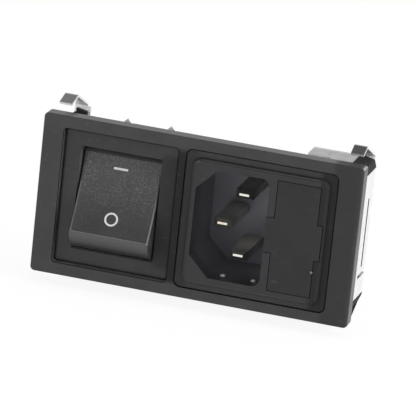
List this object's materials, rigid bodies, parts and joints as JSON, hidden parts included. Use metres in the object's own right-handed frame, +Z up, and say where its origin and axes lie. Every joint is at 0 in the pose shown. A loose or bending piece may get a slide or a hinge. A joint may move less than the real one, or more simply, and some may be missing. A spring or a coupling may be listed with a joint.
{
  "type": "power entry module",
  "caption": "Snap-in panel module with a rocker switch, an appliance inlet and a fuse drawer side by side in one black bezel.",
  "frame": {"origin": "centre of the panel seat, the plane of the back of the bezel's rim", "axes": "+X along the bezel's length towards the fuse drawer, +Y into the panel, +Z up"},
  "size_m": [0.0734, 0.0297, 0.042],
  "materials": {
    "black_plastic": "fine matt moulded",
    "inlet_plastic": "satin moulded",
    "rocker_plastic": "grained moulded",
    "plunger_plastic": "natural nylon",
    "bracket_steel": "rolled spring sheet",
    "spring_wire": "drawn wire",
    "contact_brass": "rolled",
    "tinned_brass": "tinned sheet",
    "pin_metal": "nickel plated",
    "silver_contact": "silver alloy",
    "cap_metal": "nickel plated",
    "fuse_glass": "clear",
    "fuse_wire": "thin wire"
  },
  "bodies": {
    "module": {"bezel": "black_plastic", "switch_housing": "black_plastic", "switch_base": "black_plastic", "inlet_cover": "black_plastic", "inlet_body": "inlet_plastic", "end_bracket_left": "bracket_steel", "end_bracket_right": "bracket_steel", "fixed_contact_left": "silver_contact", "supply_terminal_left": "tinned_brass", "load_terminal_left": "tinned_brass", "fixed_contact_right": "silver_contact", "supply_terminal_right": "tinned_brass", "load_terminal_right": "tinned_brass", "pin_line": "pin_metal", "pin_neutral": "pin_metal", "pin_earth": "pin_metal", "fuse_clip_line": "tinned_brass", "fuse_clip_load": "tinned_brass"},
    "rocker": {"rocker": "rocker_plastic", "plunger_left": "plunger_plastic", "plunger_right": "plunger_plastic", "plunger_spring_left": "spring_wire", "plunger_spring_right": "spring_wire"},
    "drawer": {"fuse_drawer": "inlet_plastic", "fuse_glass": "fuse_glass", "fuse_wire": "fuse_wire", "fuse_cap_top": "cap_metal", "fuse_cap_bottom": "cap_metal", "spare_fuse_glass": "fuse_glass", "spare_fuse_wire": "fuse_wire", "spare_fuse_cap_top": "cap_metal", "spare_fuse_cap_bottom": "cap_metal"},
    "lever_left": {"contact_lever_left": "contact_brass", "moving_contact_left": "silver_contact"},
    "lever_right": {"contact_lever_right": "contact_brass", "moving_contact_right": "silver_contact"}
  },
  "joints": [
    {"name": "rocker_hinge", "type": "hinge", "parent": "module", "child": "rocker", "pos_m": [-0.01855, 0.00158, 0], "axis": [1, 0, 0], "range_deg": [0, 43]},
    {"name": "drawer_slide", "type": "slide", "parent": "module", "child": "drawer", "axis": [0, -1, 0], "range_m": [0, 0.0165]},
    {"name": "lever_left_hinge", "type": "hinge", "parent": "module", "child": "lever_left", "pos_m": [-0.0237, 0.0106, 0], "axis": [1, 0, 0], "range_deg": [-24, 0]},
    {"name": "lever_right_hinge", "type": "hinge", "parent": "module", "child": "lever_right", "pos_m": [-0.0134, 0.0106, 0], "axis": [1, 0, 0], "range_deg": [-24, 0]}
  ],
  "couplings": [
    {"joint": "lever_left_hinge", "follows": "rocker_hinge", "ratio": -0.55813},
    {"joint": "lever_right_hinge", "follows": "rocker_hinge", "ratio": -0.55813}
  ]
}
